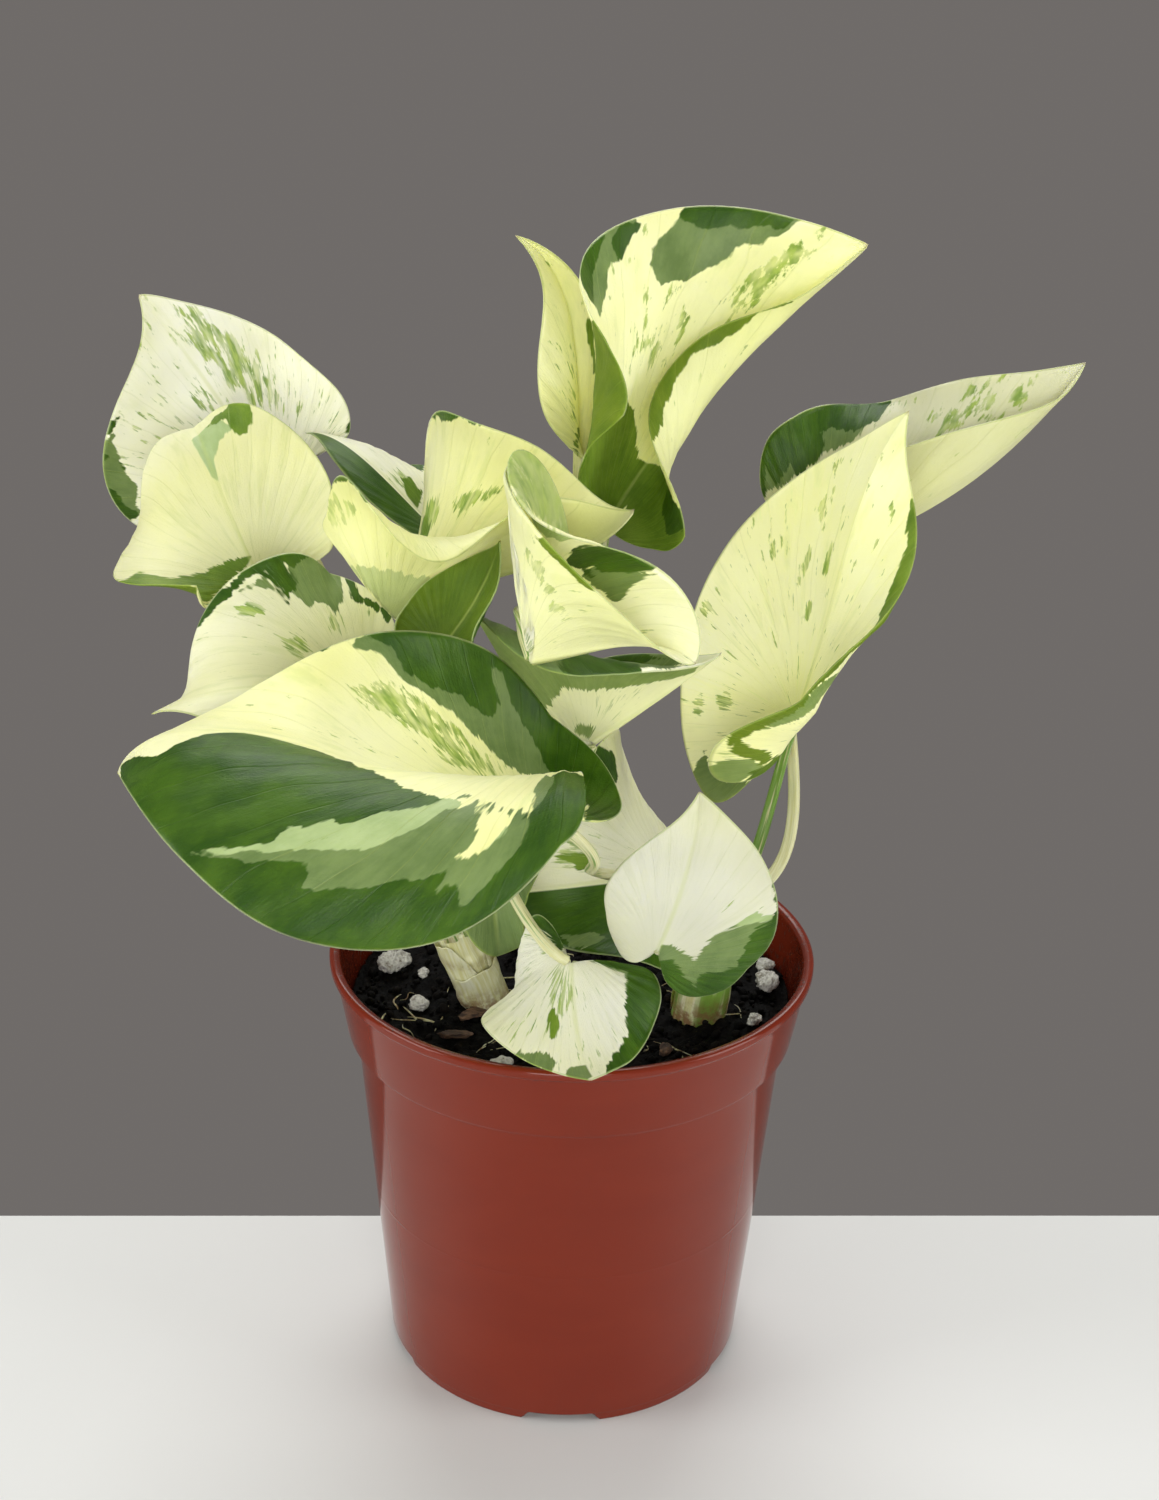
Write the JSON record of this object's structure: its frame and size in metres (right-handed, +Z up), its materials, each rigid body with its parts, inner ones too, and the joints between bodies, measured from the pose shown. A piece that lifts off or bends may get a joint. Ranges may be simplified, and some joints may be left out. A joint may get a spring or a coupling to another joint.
{
  "type": "potted pothos plant",
  "caption": "Young variegated pothos with cream and green heart-shaped leaves, curled and folded, rising from short cuttings in a glossy round terracotta-red nursery pot.",
  "frame": {"origin": "centre of the pot's underside, on the table plane", "axes": "+Z up through the pot's axis; the large lower leaf and the leaf over the rim lie towards -Y; -Z is the face the pot stands on"},
  "size_m": [0.213, 0.181, 0.2513],
  "materials": {
    "pot_plastic": "glossy terracotta-red moulded plastic",
    "potting_mix": "dark moist peat and fine bark crumbs",
    "leaf_blade": "soft sheen living leaf, cream with dark and grey-green sectors",
    "leaf_stalk": "smooth cream and green striped stalk",
    "stem": "smooth cream-green cutting with brown scars",
    "perlite": "porous off-white expanded mineral",
    "bark": "rough red-brown chips"
  },
  "bodies": {
    "root": {"bark_left": "bark", "bark_middle": "bark", "bark_right": "bark", "leaf_back_left": "leaf_blade", "leaf_centre_boat": "leaf_blade", "leaf_centre_right": "leaf_blade", "leaf_centre_under": "leaf_blade", "leaf_centre_wave": "leaf_blade", "leaf_crown": "leaf_blade", "leaf_dark_curl": "leaf_blade", "leaf_far_right": "leaf_blade", "leaf_front_left": "leaf_blade", "leaf_lower_middle": "leaf_blade", "leaf_mid_left": "leaf_blade", "leaf_narrow_top": "leaf_blade", "leaf_over_rim": "leaf_blade", "leaf_right_large": "leaf_blade", "leaf_small_low": "leaf_blade", "leaf_small_white": "leaf_blade", "leaf_upper_left": "leaf_blade", "nursery_pot": "pot_plastic", "perlite_front": "perlite", "perlite_left_front": "perlite", "perlite_left_large": "perlite", "perlite_left_small": "perlite", "perlite_right_back": "perlite", "perlite_right_front": "perlite", "perlite_right_large": "perlite", "petiole_back_left": "leaf_stalk", "petiole_centre_boat": "leaf_stalk", "petiole_centre_right": "leaf_stalk", "petiole_centre_under": "leaf_stalk", "petiole_centre_wave": "leaf_stalk", "petiole_crown": "leaf_stalk", "petiole_dark_curl": "leaf_stalk", "petiole_far_right": "leaf_stalk", "petiole_front_left": "leaf_stalk", "petiole_lower_middle": "leaf_stalk", "petiole_mid_left": "leaf_stalk", "petiole_narrow_top": "leaf_stalk", "petiole_over_rim": "leaf_stalk", "petiole_right_large": "leaf_stalk", "petiole_small_low": "leaf_stalk", "petiole_small_white": "leaf_stalk", "petiole_upper_left": "leaf_stalk", "potting_mix": "potting_mix", "stem_left": "stem", "stem_middle": "stem", "stem_right": "stem"}
  },
  "joints": []
}
